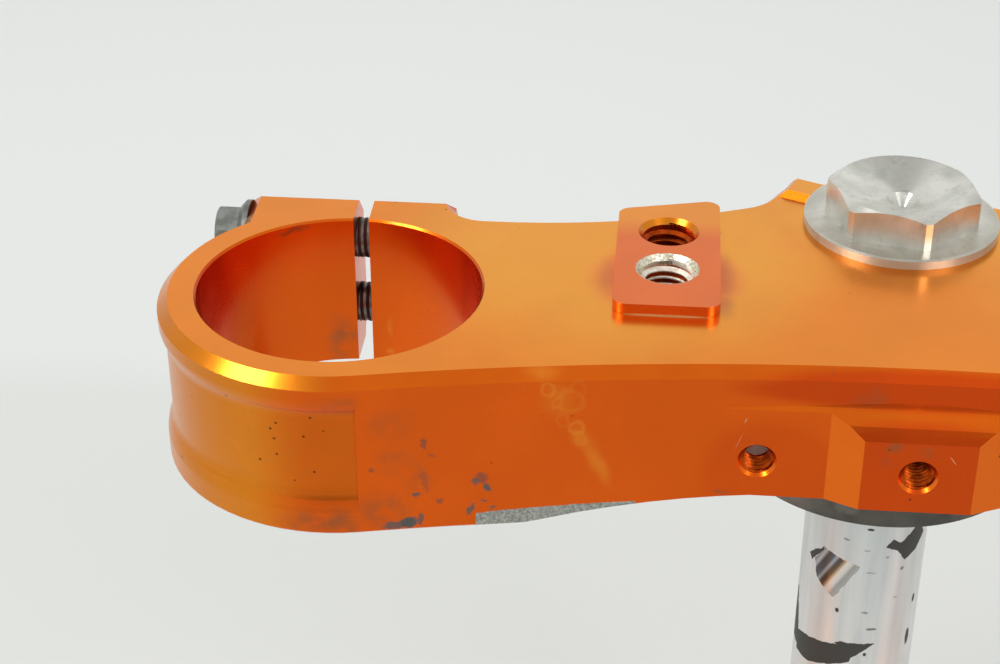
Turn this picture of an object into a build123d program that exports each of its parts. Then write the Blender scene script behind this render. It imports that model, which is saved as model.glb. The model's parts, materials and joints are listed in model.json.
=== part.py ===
from build123d import *
import os
from math import atan2, cos, radians, sin, sqrt

# Motorcycle triple clamp: top clamp, steering stem with its bolt and dust cap, and bottom clamp.
# Millimetres. The steering axis is Z, the bike's front is -Y, and the bottom clamp stands on Z = 0.

# Fork layout
fork_spread = 107.5  # steering axis to fork axis, sideways
fork_offset = 35.0  # steering axis to fork axes, forwards
clamp_rise = 178.0  # bottom clamp's top face to top clamp's top face

# Top clamp: rings and web
top_bore = 54.0
top_ring_wall = 7.3
top_thickness = 32.8
web_thickness = 26.5
front_waist = 22.4  # front wall's middle, ahead of the fork axes
rear_waist = 30.5  # rear wall's lowest stretch, behind the fork axes
rear_straight = 2.0  # straight run of the rear wall beside each ear
edge_chamfer = 2.0
bore_chamfer = 0.4
foot_chamfer = 0.5
relief_depth = 1.2  # shallow hollow milled round the outside of each ring
relief_top = 4.4
relief_bottom = 28.0
relief_top_slope = 4.0
relief_bottom_slope = 4.8
relief_lean = 0.15  # how steeply the shoulders leave the ring's wall
relief_front_angle = 13.0  # where the hollow ends, past the ring's foremost point
relief_sweep = 143.0
rise_start = 30.5  # underside step, inboard of the fork axis
rise_length = 59.0
rise_knee = 10.0  # the step's outer bend, the rest being one long inner bend

# Fork pinch ears and bolts, the same on both clamps
slot_width = 3.1
ear_depth = 12.9  # bore to the ear's rear face
ear_outer = 23.8
ear_inner = 18.1
ear_bevel = 4.5
ear_blend = 6.5
pinch_diameter = 8.0
pinch_clearance = 0.2
pinch_behind_bore = 6.5
pinch_pitch = 15.1
top_pinch_depth = 7.5
pinch_grip = 35.0
flange_diameter = 13.6
flange_height = 2.0
pinch_hex = 10.0
pinch_head = 4.8

# Handlebar pads
bar_spread = 46.0  # steering axis to bar holes, sideways
bar_hole = 10.0
bar_pitch = 15.0
bar_front_hole = 26.8  # ahead of the steering axis
bar_sink = 0.95
pad_width = 20.0
pad_height = 2.2
pad_ahead = 14.1  # pad's front edge, ahead of the front hole
pad_behind = 11.6  # pad's rear edge on its middle line, behind the rear hole
pad_skew = 5.2  # how much further back the rear edge lies on its inner side
pad_corner = 2.6
pad_root = 12.0

# Front flat, boss and small threaded holes
flat_ahead = 23.75  # front flat, ahead of the fork axes
flat_half = 36.0
boss_ahead = 26.5
boss_width = 20.0
boss_flare = 6.0
boss_height = 14.7
ledge_depth = 6.6
ledge_break = 2.9
ledge_blend = 0.9  # hollow bend between the front wall and the ledge, along the ledge
ledge_rise = 2.4  # and up the wall
ledge_root = 0.1  # how far the bend ends behind the front wall
small_hole = 6.0
small_sink = 0.55
small_spread = 28.5
small_above_foot = 7.5
boss_hole_depth = 18.0
front_wall = 6.5

# Underside pockets
top_skin = 8.0
pocket_corner = 4.0
rib_half = 9.0
pocket_gap = 2.0
inner_pocket_length = 25.0
outer_pocket_length = 34.0
bar_column = 18.0
outer_corner_share = 0.25  # of the outer pocket's width

# Hub round the stem
hub_wall = 8.8
hub_blend_width = 33.0  # where the rear wall starts to turn into the hub, sideways
hub_blend_rear = 4.9
wing_blend = 9.0  # bend from the rear wall into the wing's side
wing_reach = 25.9
wing_front = 10.7
wing_tip = 21.5
wing_rear = 18.4
wing_inset = 1.0  # raised wing's outline, inside the hub's wing
wing_height = 1.3
wing_slope = 0.46
wing_width = 8.9
hub_ear_half = 16.0
hub_ear_rear = 33.0
hub_ear_top = 10.5
hub_ear_corner = 2.0
hub_slot = 3.0
hub_pinch_behind = 11.9  # hub bore to the hub bolt's axis
hub_pinch_grip = 30.0

# Steering stem and its bolt
stem_diameter = 26.4
stem_bore = 19.0
stem_thread = 22.0
stem_thread_length = 30.0
stem_clearance = 0.1
stem_below_top = 1.0
seat_diameter = 30.0
seat_length = 22.0
seat_taper = 12.0
root_diameter = 33.0
stem_flange = 38.4
stem_flange_height = 1.9
stem_flange_bevel = 0.5
bolt_seat_margin = 0.3  # round seat cut in the wings, outside the flange
stem_hex = 27.0
stem_hex_turn = -16.0
stem_bolt_height = 8.5
stem_bolt_rim = 13.4
stem_bolt_slope = 0.577
stem_bolt_turned = 30.4  # across the hexagon's corners, which are turned down
stem_bolt_dish = 3.1
stem_dimple = 6.4
stem_shank = 26.0

# Dust cap and its seal
cap_diameter = 64.0
cap_height = 18.7
cap_rim = 5.0
cap_collar = 40.0
cap_collar_height = 6.0
cap_wall = 2.0
cap_clearance = 0.3
seal_section = 2.6

# Bottom clamp
bottom_bore = 60.0
bottom_ring_wall = 7.8
bottom_thickness = 40.0
bottom_front_waist = 20.0
bottom_rear_waist = 33.0
bottom_pinch_depth = 11.0
bottom_pinch_pitch = 18.0
bottom_hub_wall = 6.0
bottom_chamfer = 1.5

# Places that follow from the sizes above
top_face = bottom_thickness + clamp_rise
top_foot = top_face - top_thickness
web_foot = top_face - web_thickness
stem_radius = stem_diameter / 2
hub_bore = stem_radius + stem_clearance
hub_radius = hub_bore + hub_wall
flat_y = -fork_offset - flat_ahead
boss_y = -fork_offset - boss_ahead
boss_top = web_foot + boss_height
small_z = web_foot + small_above_foot
bar_rear_hole = bar_front_hole - bar_pitch
hub_pinch_place = (-hub_ear_half, hub_bore + hub_pinch_behind, web_foot + (web_thickness - hub_ear_top) / 2)
hub_pinch_plane = Plane(origin=hub_pinch_place, x_dir=(0, 0, 1), z_dir=(-1, 0, 0))
sides = {"left": -1, "right": 1}
through = 4 * (top_face + fork_spread)

os.makedirs("parts", exist_ok=True)


def fork(side):
    """Fork axis on one side, in plan."""
    return Vector(side * fork_spread, -fork_offset)


def rear_blend(waist_rear):
    """Start, middle and end of the bend from the rear wall to the hub, and its heading at the end."""
    start = Vector(fork_spread - ear_inner - ear_blend - rear_straight, -fork_offset + waist_rear)
    end = Vector(hub_blend_width, hub_blend_rear)
    rise = end.Y - start.Y
    run = start.X - end.X
    arc = (run**2 + rise**2) / (2 * rise)
    middle = Vector(start.X - run / 2, start.Y + arc - sqrt(arc**2 - (run / 2) ** 2))
    turn = 2 * atan2(rise, run)
    return start, middle, end, Vector(-cos(turn), sin(turn))


def clamp_plan(ring, waist_front, waist_rear, hub):
    """Plan of a clamp: two rings, a waisted web between them and a hub round the stem."""
    rear_y = -fork_offset + waist_rear
    ear_x = fork_spread - ear_inner
    ear_far = fork_spread + ear_outer
    sweep = (fork_spread**2 + waist_front**2 - ring**2) / (2 * (ring - waist_front))
    sweep_centre = Vector(0, -fork_offset - waist_front - sweep)
    touch = fork(1) + (sweep_centre - fork(1)).normalized() * ring
    blend_start, blend_middle, blend_end, heading = rear_blend(waist_rear)
    nearest = blend_end - heading * blend_end.dot(heading)
    with BuildSketch(mode=Mode.PRIVATE) as plan:
        with BuildLine():
            Line((0, 0), (0, -fork_offset - waist_front))
            front = sweep_centre + Vector(touch.X / 2, sqrt(sweep**2 - (touch.X / 2) ** 2))
            ThreePointArc((0, -fork_offset - waist_front), front, touch)
            Line(touch, fork(1))
            Line(fork(1), (ear_far, -fork_offset))
            Line((ear_far, -fork_offset), (ear_far, rear_y + ear_blend))
            Line((ear_far, rear_y + ear_blend), (ear_x, rear_y + ear_blend))
            RadiusArc((ear_x, rear_y + ear_blend), (ear_x - ear_blend, rear_y), ear_blend)
            Line((ear_x - ear_blend, rear_y), blend_start)
            ThreePointArc(blend_start, blend_middle, blend_end)
            Line(blend_end, nearest)
            Line(nearest, (0, 0))
        make_face()
        mirror(about=Plane.YZ)
        with Locations(fork(-1), fork(1)):
            Circle(ring)
        Circle(hub)
    return plan.sketch


def wing_plan(waist_rear):
    """Plan of the wing on the hub's left, bent softly into the rear wall."""
    blend_end, heading = rear_blend(waist_rear)[2:]
    tip = Vector(wing_tip, wing_rear)
    wing_side = Vector(wing_reach, wing_front) - tip
    run_on = (tip - blend_end).cross(wing_side).Z / heading.cross(wing_side).Z
    outline = [blend_end, blend_end + heading * run_on, tip]
    root = Vector(0, wing_rear - wing_tip * wing_slope)
    with BuildSketch(mode=Mode.PRIVATE) as wing:
        with BuildLine():
            FilletPolyline(*[(-point.X, point.Y) for point in outline], radius=wing_blend)
            Polyline((-tip.X, tip.Y), (root.X, root.Y), (0, 0), (-blend_end.X, blend_end.Y))
        make_face()
    return wing.sketch


def pinch_ears(side, bore, top, thickness):
    """Block behind a ring, to be slotted into two ears, with bevelled rear edges and chamfered ends."""
    middle = fork_spread + (ear_outer - ear_inner) / 2
    rear = -fork_offset + bore / 2 + ear_depth
    foot = top - thickness
    with BuildPart(mode=Mode.PRIVATE) as ears:
        with BuildSketch(Plane.YZ.offset(side * middle)):
            Polygon(
                (-fork_offset, foot),
                (rear - ear_bevel, foot),
                (rear, foot + ear_bevel),
                (rear, top - ear_bevel),
                (rear - ear_bevel, top),
                (-fork_offset, top),
                align=None,
            )
        extrude(amount=(ear_outer + ear_inner) / 2, both=True)
        chamfer(ears.edges().filter_by(Axis.Y).group_by(Axis.Z)[-1], edge_chamfer)
    return ears.part


def pinch_plane(side, bore, height):
    """Plane on an ear's outer face, square to the pinch bolt."""
    place = (side * (fork_spread + ear_outer), -fork_offset + bore / 2 + pinch_behind_bore, height)
    return Plane(origin=place, x_dir=(0, 0, 1), z_dir=(side, 0, 0))


# Top clamp
top_ring = top_bore / 2 + top_ring_wall
top_pinch_heights = [top_face - top_pinch_depth - pinch_pitch * row for row in range(2)]

with BuildPart() as top_clamp:
    with BuildSketch(Plane.XY.offset(top_foot)):
        add(clamp_plan(top_ring, front_waist, rear_waist, hub_radius))
        add(wing_plan(rear_waist))
    extrude(amount=top_thickness)
    chamfer(top_clamp.faces().sort_by(Axis.Z)[-1].outer_wire().edges(), edge_chamfer)
    chamfer(top_clamp.faces().sort_by(Axis.Z)[0].outer_wire().edges(), foot_chamfer)

    # Pinch ears behind the rings
    for side in sides.values():
        add(pinch_ears(side, top_bore, top_face, top_thickness))

    # Underside rises from the rings to the thinner web
    rise_x = fork_spread - rise_start
    rise_bend = (rise_x - rise_knee, top_foot + (web_foot - top_foot) * rise_knee / rise_length)
    with BuildSketch(Plane.XZ):
        with BuildLine():
            Line((0, top_foot), (rise_x, top_foot))
            TangentArc((rise_x, top_foot), rise_bend, tangent=(-1, 0))
            TangentArc((rise_x - rise_length, web_foot), rise_bend, tangent=(1, 0))
            Line((rise_x - rise_length, web_foot), (0, web_foot))
            Line((0, web_foot), (0, top_foot))
        make_face()
        mirror(about=Plane.YZ)
    extrude(amount=through, both=True, mode=Mode.SUBTRACT)

    # Hub foot that carries the dust cap, and split ears behind the hub
    with BuildSketch(Plane.XY.offset(top_foot)):
        Circle(hub_radius)
    extrude(amount=top_thickness / 2)
    with BuildSketch(Plane.XY.offset(web_foot)):
        with Locations((0, hub_ear_rear / 2)):
            RectangleRounded(2 * hub_ear_half, hub_ear_rear, hub_ear_corner)
    extrude(amount=web_thickness - hub_ear_top)

    # Front flat with the centre boss and its two-facet ledge, bent softly into the wall
    ledge_y = -fork_offset - front_waist + ledge_root
    ledge_z = top_face - ledge_depth
    bend_start = (ledge_y - ledge_blend * sin(radians(45)), ledge_z - ledge_blend * sin(radians(45)))
    bend_end = (ledge_y, ledge_z + ledge_rise)
    break_y = ledge_y - ledge_break
    block_y = flat_y + front_wall + pocket_corner
    with BuildPart(mode=Mode.PRIVATE) as front_block:
        with BuildSketch(Plane.XY.offset(web_foot)):
            Polygon(
                (-flat_half, block_y),
                (-flat_half, flat_y),
                (-boss_width / 2 - boss_flare, flat_y),
                (-boss_width / 2, boss_y),
                (boss_width / 2, boss_y),
                (boss_width / 2 + boss_flare, flat_y),
                (flat_half, flat_y),
                (flat_half, block_y),
                align=None,
            )
        extrude(amount=web_thickness)
        with BuildSketch(Plane.YZ):
            with BuildLine():
                Spline(bend_start, bend_end, tangents=((1, 1), (0, 1)))
                Polyline(
                    bend_end,
                    (block_y, ledge_z + ledge_rise),
                    (block_y, web_foot),
                    (boss_y, web_foot),
                    (boss_y, boss_top),
                    (break_y, ledge_z - ledge_break),
                    bend_start,
                )
            make_face()
        extrude(amount=through, both=True, mode=Mode.INTERSECT)
    add(front_block.part)

    # Raised wing behind the stem bolt on the left, cut by the bolt's round seat
    with BuildSketch(Plane.XY.offset(top_face)):
        wing_x = wing_reach - 2 * wing_inset
        wing_y = wing_front - wing_inset
        with BuildLine():
            Polyline(
                (0, wing_y - wing_x * wing_slope + wing_width),
                (-wing_tip + wing_inset, wing_rear - wing_inset),
                (-wing_x, wing_y),
                (0, wing_y - wing_x * wing_slope),
                close=True,
            )
        make_face()
    extrude(amount=wing_height, taper=45)
    with BuildSketch(Plane.XY.offset(top_face)):
        Circle(stem_flange / 2 + bolt_seat_margin)
    extrude(amount=through, mode=Mode.SUBTRACT)

    # Handlebar pads
    pad_front = -bar_front_hole - pad_ahead
    pad_rear = -bar_rear_hole + pad_behind
    for side in sides.values():
        inner = side * (bar_spread - pad_width / 2)
        outer = side * (bar_spread + pad_width / 2)
        with BuildSketch(Plane.XY.offset(top_face - pad_root)) as pad:
            Polygon(
                (outer, pad_front),
                (inner, pad_front),
                (inner, pad_rear + pad_skew / 2),
                (outer, pad_rear - pad_skew / 2),
                align=None,
            )
            fillet(pad.vertices(), pad_corner)
        extrude(amount=pad_root + pad_height)

    # Underside pockets, left open between the web's ribs
    pocket_front = flat_y + front_wall
    column_inner = bar_spread - bar_column / 2
    column_outer = bar_spread + bar_column / 2
    ring_inner = fork_spread - top_ring
    inner_width = column_inner - pocket_gap / 2 - rib_half
    outer_width = ring_inner - column_outer - pocket_gap
    for side in sides.values():
        with BuildSketch(Plane.XY.offset(top_foot)):
            with Locations((side * (rib_half + inner_width / 2), pocket_front + inner_pocket_length / 2)):
                RectangleRounded(inner_width, inner_pocket_length, pocket_corner)
            with Locations((side * (column_outer + outer_width / 2), pocket_front + outer_pocket_length / 2)):
                RectangleRounded(outer_width, outer_pocket_length, outer_width * outer_corner_share)
        extrude(amount=top_thickness - top_skin, mode=Mode.SUBTRACT)

    # Shallow hollow round the outside of each ring, with rounded shoulders
    hollow = top_ring - relief_depth
    half_hollow = top_ring - relief_depth / 2
    upper_lip = top_face - relief_top
    lower_lip = top_face - relief_bottom
    upper_middle = (half_hollow, upper_lip - relief_top_slope / 2)
    lower_middle = (half_hollow, lower_lip + relief_bottom_slope / 2)
    upper_hollow = (hollow, upper_lip - relief_top_slope)
    lower_hollow = (hollow, lower_lip + relief_bottom_slope)
    for side in sides.values():
        start_angle = -90 + relief_front_angle if side < 0 else -90 - relief_front_angle + relief_sweep
        start = radians(start_angle)
        radial = (cos(start), sin(start), 0)
        origin = fork(side)
        section = Plane(origin=origin, x_dir=radial, z_dir=(sin(start), -cos(start), 0))
        with BuildSketch(section):
            with BuildLine():
                TangentArc((top_ring, upper_lip), upper_middle, tangent=(-relief_lean, -1))
                TangentArc(upper_hollow, upper_middle, tangent=(0, 1))
                TangentArc((top_ring, lower_lip), lower_middle, tangent=(-relief_lean, 1))
                TangentArc(lower_hollow, lower_middle, tangent=(0, -1))
                Line(upper_hollow, lower_hollow)
                Polyline(
                    (top_ring, upper_lip),
                    (top_ring + relief_depth, upper_lip),
                    (top_ring + relief_depth, lower_lip),
                    (top_ring, lower_lip),
                )
            make_face()
        revolve(axis=Axis(origin, (0, 0, -1)), revolution_arc=relief_sweep, mode=Mode.SUBTRACT)

    # Fork bores, their slots and the pinch bolt holes
    with Locations(*[fork(side) + Vector(0, 0, top_face) for side in sides.values()]):
        CounterSinkHole(top_bore / 2, top_bore / 2 + bore_chamfer, depth=through, counter_sink_angle=90)
    for side in sides.values():
        with Locations((side * fork_spread, -fork_offset + top_bore / 2 + ear_depth / 2, top_face)):
            Box(slot_width, top_bore + ear_depth, through, mode=Mode.SUBTRACT)
        for height in top_pinch_heights:
            with BuildSketch(pinch_plane(side, top_bore, height)):
                Circle(pinch_diameter / 2 + pinch_clearance)
            extrude(amount=-pinch_grip - slot_width, mode=Mode.SUBTRACT)

    # Stem bore, hub slot and hub bolt hole
    with Locations((0, 0, top_face)):
        Hole(hub_bore)
    with Locations((0, hub_ear_rear / 2, top_face)):
        Box(hub_slot, hub_ear_rear + hub_slot, through, mode=Mode.SUBTRACT)
    with BuildSketch(hub_pinch_plane):
        Circle(pinch_diameter / 2 + pinch_clearance)
    extrude(amount=-hub_pinch_grip - hub_slot, mode=Mode.SUBTRACT)

    # Threaded holes, at their nominal size: handlebar clamps on top, small ones in the front wall
    with Locations((0, -bar_front_hole + bar_pitch / 2, top_face + pad_height)):
        with GridLocations(2 * bar_spread, bar_pitch, 2, 2):
            CounterSinkHole(bar_hole / 2, bar_hole / 2 + bar_sink, depth=through)
    for side in sides.values():
        with Locations(Plane(origin=(side * small_spread, flat_y, small_z), z_dir=(0, -1, 0))):
            CounterSinkHole(small_hole / 2, small_hole / 2 + small_sink, depth=front_wall + pocket_corner)
    with Locations(Plane(origin=(0, boss_y, small_z), z_dir=(0, -1, 0))):
        CounterSinkHole(small_hole / 2, small_hole / 2 + small_sink, depth=boss_hole_depth)

top_clamp.part.label = "top_clamp"
export_step(top_clamp.part, "parts/top_clamp.step")

# Bottom clamp, pressed on the stem's root
bottom_ring = bottom_bore / 2 + bottom_ring_wall
bottom_hub = root_diameter / 2 + bottom_hub_wall
bottom_pinch_heights = [bottom_thickness - bottom_pinch_depth - bottom_pinch_pitch * row for row in range(2)]

with BuildPart() as bottom_clamp:
    with BuildSketch():
        add(clamp_plan(bottom_ring, bottom_front_waist, bottom_rear_waist, bottom_hub))
    extrude(amount=bottom_thickness)
    for level in (0, -1):
        rim = bottom_clamp.faces().sort_by(Axis.Z)[level].outer_wire().edges()
        chamfer(rim, bottom_chamfer)
    for side in sides.values():
        add(pinch_ears(side, bottom_bore, bottom_thickness, bottom_thickness))
    for side in sides.values():
        with Locations(fork(side) + Vector(0, 0, bottom_thickness)):
            sink = bottom_bore / 2 + bore_chamfer
            CounterSinkHole(bottom_bore / 2, sink, depth=through, counter_sink_angle=90)
        with Locations((side * fork_spread, -fork_offset + bottom_bore / 2 + ear_depth / 2)):
            Box(slot_width, bottom_bore + ear_depth, through, mode=Mode.SUBTRACT)
        for height in bottom_pinch_heights:
            with BuildSketch(pinch_plane(side, bottom_bore, height)):
                Circle(pinch_diameter / 2 + pinch_clearance)
            extrude(amount=-pinch_grip - slot_width, mode=Mode.SUBTRACT)
    with Locations((0, 0, bottom_thickness)):
        Hole(root_diameter / 2 + stem_clearance)

bottom_clamp.part.label = "bottom_clamp"
export_step(bottom_clamp.part, "parts/bottom_clamp.step")

# Steering stem: a bored tube with a thick root, a bearing seat and a thread for the stem bolt
seat_top = bottom_thickness + seat_length
stem_top = top_face - stem_below_top

with BuildPart() as steering_stem:
    with BuildSketch(Plane.XZ):
        Polygon(
            (stem_bore / 2, 0),
            (root_diameter / 2, 0),
            (root_diameter / 2, bottom_thickness),
            (seat_diameter / 2, bottom_thickness),
            (seat_diameter / 2, seat_top),
            (stem_radius, seat_top + seat_taper),
            (stem_radius, stem_top),
            (stem_thread / 2, stem_top),
            (stem_thread / 2, stem_top - stem_thread_length),
            (stem_bore / 2, stem_top - stem_thread_length),
            align=None,
        )
    revolve(axis=Axis.Z)

steering_stem.part.label = "steering_stem"
export_step(steering_stem.part, "parts/steering_stem.step")

# Stem bolt: round flange, hexagon with turned corners, dished top and threaded shank
bolt_top = top_face + stem_bolt_height
turned_corner = stem_bolt_turned / 2

with BuildPart() as stem_bolt:
    with BuildSketch(Plane.XY.offset(top_face)):
        RegularPolygon(stem_hex / 2, 6, major_radius=False, rotation=stem_hex_turn)
    extrude(amount=stem_bolt_height)
    with BuildSketch(Plane.XZ):
        Polygon(
            (0, top_face),
            (turned_corner, top_face),
            (turned_corner, bolt_top - (turned_corner - stem_bolt_rim) * stem_bolt_slope),
            (stem_bolt_rim, bolt_top),
            (stem_dimple / 2, bolt_top - stem_bolt_dish),
            (0, bolt_top - stem_bolt_dish - stem_dimple / 2),
            align=None,
        )
    revolve(axis=Axis.Z, mode=Mode.INTERSECT)
    with BuildSketch(Plane.XZ):
        Polygon(
            (0, top_face),
            (stem_flange / 2, top_face),
            (stem_flange / 2, top_face + stem_flange_height - stem_flange_bevel / 2),
            (stem_flange / 2 - stem_flange_bevel, top_face + stem_flange_height),
            (0, top_face + stem_flange_height),
            align=None,
        )
    revolve(axis=Axis.Z)
    with BuildSketch(Plane.XY.offset(top_face)):
        Circle(stem_thread / 2 - stem_clearance)
    extrude(amount=-stem_shank)

stem_bolt.part.label = "stem_bolt"
export_step(stem_bolt.part, "parts/stem_bolt.step")

# Dust cap under the hub, with the seal that its collar presses on the stem
cap_bore = stem_radius + cap_clearance
seal_radius = stem_radius + seal_section / 2
seal_pocket = stem_radius + seal_section + stem_clearance
collar_foot = top_foot - cap_collar_height
cap_foot = top_foot - cap_height

with BuildPart() as dust_cap:
    with BuildSketch(Plane.XZ):
        Polygon(
            (cap_bore, top_foot),
            (cap_collar / 2, top_foot),
            (cap_collar / 2, collar_foot),
            (cap_diameter / 2, cap_foot + cap_rim),
            (cap_diameter / 2, cap_foot),
            (cap_diameter / 2 - cap_wall, cap_foot),
            (cap_diameter / 2 - cap_wall, cap_foot + cap_rim - cap_wall),
            (cap_collar / 2 - cap_wall, collar_foot - cap_wall),
            (seal_pocket, collar_foot - cap_wall),
            (seal_pocket, top_foot - cap_wall),
            (cap_bore, top_foot - cap_wall),
            align=None,
        )
    revolve(axis=Axis.Z)

dust_cap.part.label = "dust_cap"
export_step(dust_cap.part, "parts/dust_cap.step")

with BuildPart(Plane.XY.offset(top_foot - cap_wall - seal_section / 2)) as stem_o_ring:
    Torus(seal_radius + stem_clearance / 2, seal_section / 2)

stem_o_ring.part.label = "stem_o_ring"
export_step(stem_o_ring.part, "parts/stem_o_ring.step")


# Flanged pinch bolts
def flanged_bolt(seat, grip):
    """Flanged hexagon bolt whose flange sits on the seat plane and whose shank goes into it."""
    corner = pinch_hex / sqrt(3)
    head_top = flange_height + pinch_head
    axial = Plane(origin=seat.origin, x_dir=seat.x_dir, z_dir=seat.y_dir)
    with BuildPart() as bolt:
        with BuildSketch(seat):
            RegularPolygon(pinch_hex / 2, 6, major_radius=False)
        extrude(amount=head_top)
        with BuildSketch(axial):
            Polygon(
                (0, 0),
                (corner, 0),
                (corner, -head_top + (corner - pinch_hex / 2)),
                (pinch_hex / 2, -head_top),
                (0, -head_top),
                align=None,
            )
        revolve(axis=Axis(seat.origin, seat.z_dir), mode=Mode.INTERSECT)
        with BuildSketch(axial):
            Polygon(
                (0, 0),
                (flange_diameter / 2, 0),
                (flange_diameter / 2, -flange_height / 2),
                (corner, -flange_height),
                (0, -flange_height),
                align=None,
            )
        revolve(axis=Axis(seat.origin, seat.z_dir))
        with BuildSketch(seat):
            Circle(pinch_diameter / 2)
        extrude(amount=-grip)
    return bolt.part


for clamp_name, bore, heights in (
    ("top", top_bore, top_pinch_heights),
    ("bottom", bottom_bore, bottom_pinch_heights),
):
    for side_name, side in sides.items():
        for level_name, height in zip(("upper", "lower"), heights):
            pinch_bolt = flanged_bolt(pinch_plane(side, bore, height), pinch_grip)
            pinch_bolt.label = f"{clamp_name}_{side_name}_{level_name}_bolt"
            export_step(pinch_bolt, f"parts/{pinch_bolt.label}.step")

stem_pinch_bolt = flanged_bolt(hub_pinch_plane, hub_pinch_grip)
stem_pinch_bolt.label = "stem_pinch_bolt"
export_step(stem_pinch_bolt, "parts/stem_pinch_bolt.step")
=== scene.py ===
import json
import logging
import math
from dataclasses import dataclass, replace
from enum import Enum
from typing import Any, Iterable, Sequence

import bmesh
import bpy
from mathutils import Matrix, Vector


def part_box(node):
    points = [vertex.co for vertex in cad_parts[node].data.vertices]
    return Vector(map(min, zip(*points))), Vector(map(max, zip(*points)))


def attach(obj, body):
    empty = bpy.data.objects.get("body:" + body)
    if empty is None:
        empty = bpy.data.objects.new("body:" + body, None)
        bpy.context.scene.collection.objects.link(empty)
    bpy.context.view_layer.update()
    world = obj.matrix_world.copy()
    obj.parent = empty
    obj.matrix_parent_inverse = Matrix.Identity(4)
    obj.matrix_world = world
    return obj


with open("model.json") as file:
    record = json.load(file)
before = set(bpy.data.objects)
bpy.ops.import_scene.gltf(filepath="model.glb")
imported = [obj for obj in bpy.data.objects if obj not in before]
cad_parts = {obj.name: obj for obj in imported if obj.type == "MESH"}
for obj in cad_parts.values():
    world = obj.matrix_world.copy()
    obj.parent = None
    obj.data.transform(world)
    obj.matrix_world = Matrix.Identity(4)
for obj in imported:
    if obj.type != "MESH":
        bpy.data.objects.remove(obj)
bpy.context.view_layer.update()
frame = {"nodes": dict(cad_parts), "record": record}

LOG = logging.getLogger("triple_clamp")
MM = 0.001
BODY = "root"

Point = tuple[float, float, float]
Flat = tuple[float, float]
Socket = bpy.types.NodeSocket
Tree = bpy.types.NodeTree
Number = Socket | float
Ink = Socket | str
Coats = list[tuple[Socket, Ink]]
Outlines = Sequence[Sequence[Flat]]
Inputs = dict[int | str, Any] | Sequence[Any]
Material = bpy.types.Material
Piece = bpy.types.Object

SMOOTH = {"interpolation_type": "SMOOTHSTEP"}

# Numbers of the colour mixer's inputs
MIX_SHARE = 0
MIX_FIRST = 6
MIX_SECOND = 7

# Radians that a wave pattern turns through over one unit
WAVE_RATE = 20


class Slot(Enum):
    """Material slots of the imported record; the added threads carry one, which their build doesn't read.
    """

    ORANGE = "orange_anodised"
    ZINC = "zinc_steel"


class Side(Enum):
    """Sides of the bike, by the sign of X."""

    LEFT = -1
    RIGHT = 1


def srgb(code: str) -> tuple[float, float, float, float]:
    """Turn an sRGB hex colour into linear light.

    Args:
        code: Colour such as "#C9530F".

    Returns:
        Linear red, green, blue and an alpha of 1.
    """
    parts = [int(code[i:i + 2], 16) / 255 for i in (1, 3, 5)]
    linear = [p / 12.92 if p <= 0.04045 else ((p + 0.055) / 1.055) ** 2.4 for p in parts]
    return (*linear, 1.0)


def pattern(point: Socket, size: float, **more: float) -> dict[str, Any]:
    """Inputs of a pattern at a place in metres, with features of a size in millimetres."""
    return {"Vector": point, "Scale": 1 / (size * MM), **more}


def metres(place: Sequence[float]) -> tuple[float, ...]:
    """The same place in metres."""
    return tuple(p * MM for p in place)


def wire(node: bpy.types.Node, inputs: Inputs) -> None:
    """Set the inputs of a node.

    Args:
        node: The node.
        inputs: Values, hex colours or sockets to link, in order or by the input's name or number.
    """
    for key, value in inputs.items() if isinstance(inputs, dict) else enumerate(inputs):
        if isinstance(value, Socket):
            node.id_data.links.new(value, node.inputs[key])
        else:
            node.inputs[key].default_value = srgb(value) if isinstance(value, str) else value


def add(kind: str, inputs: Inputs = (), tree: Tree | None = None, **settings: Any) -> Socket:
    """Add one shader node with its settings and links.

    Args:
        kind: Node type without its "ShaderNode" prefix and, after a dot, its operation.
        inputs: Values or sockets for its inputs.
        tree: Node tree of a node that links no socket.
        settings: Properties of the node itself.

    Returns:
        The first of its outputs that is in use.
    """
    if tree is None:
        values = inputs.values() if isinstance(inputs, dict) else inputs
        tree = next(value for value in values if isinstance(value, Socket)).id_data
    kind, _, operation = kind.partition(".")
    node = tree.nodes.new("ShaderNode" + kind)
    if operation:
        node.operation = operation
    for name, value in settings.items():
        setattr(node, name, value)
    wire(node, inputs)
    return next(output for output in node.outputs if output.enabled)


def span(value: Socket, low: float = 0.0, high: float = 1.0, start: Number = 0.0,
         end: Number = 1.0) -> dict[str, Number]:
    """Inputs of a ramp that runs from start, where the value is low, to end, where it is high."""
    return {"Value": value, "From Min": low, "From Max": high, "To Min": start, "To Max": end}


@dataclass(frozen=True)
class Spot:
    """One mark of wear: an ellipsoid in the row frame, in millimetres.

    A spot with a lean is turned about the bike's long axis, in degrees.
    """

    place: Point
    reach: Point
    strength: float = 1.0
    lean: float = 0.0


def marks(*rows: Sequence[float]) -> tuple[Spot, ...]:
    """Spots from rows of place, reach and, where they aren't 1 and 0, strength and lean."""
    return tuple(Spot(tuple(row[:3]), tuple(row[3:6]), *row[6:]) for row in rows)


def spots(point: Socket, wear: Iterable[Spot], soft: float) -> Socket:
    """Draw spots as a mask.

    Args:
        point: Place, in metres.
        wear: The spots.
        soft: Share of a spot's reach over which it fades out.

    Returns:
        A socket that is the spot's strength inside it and 0 outside all of them.
    """
    total: Number = 0.0
    for mark in wear:
        turn = (0, math.radians(mark.lean), 0)
        about = (point, metres(mark.place), turn, metres(mark.reach))
        local = add("Mapping", about, vector_type="TEXTURE")
        away = add("VectorMath.LENGTH", (local,))
        inside = add("MapRange", span(away, 1.0, 1.0 - soft, end=mark.strength), **SMOOTH)
        total = add("Math.MAXIMUM", (inside, total))
    return total


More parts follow.
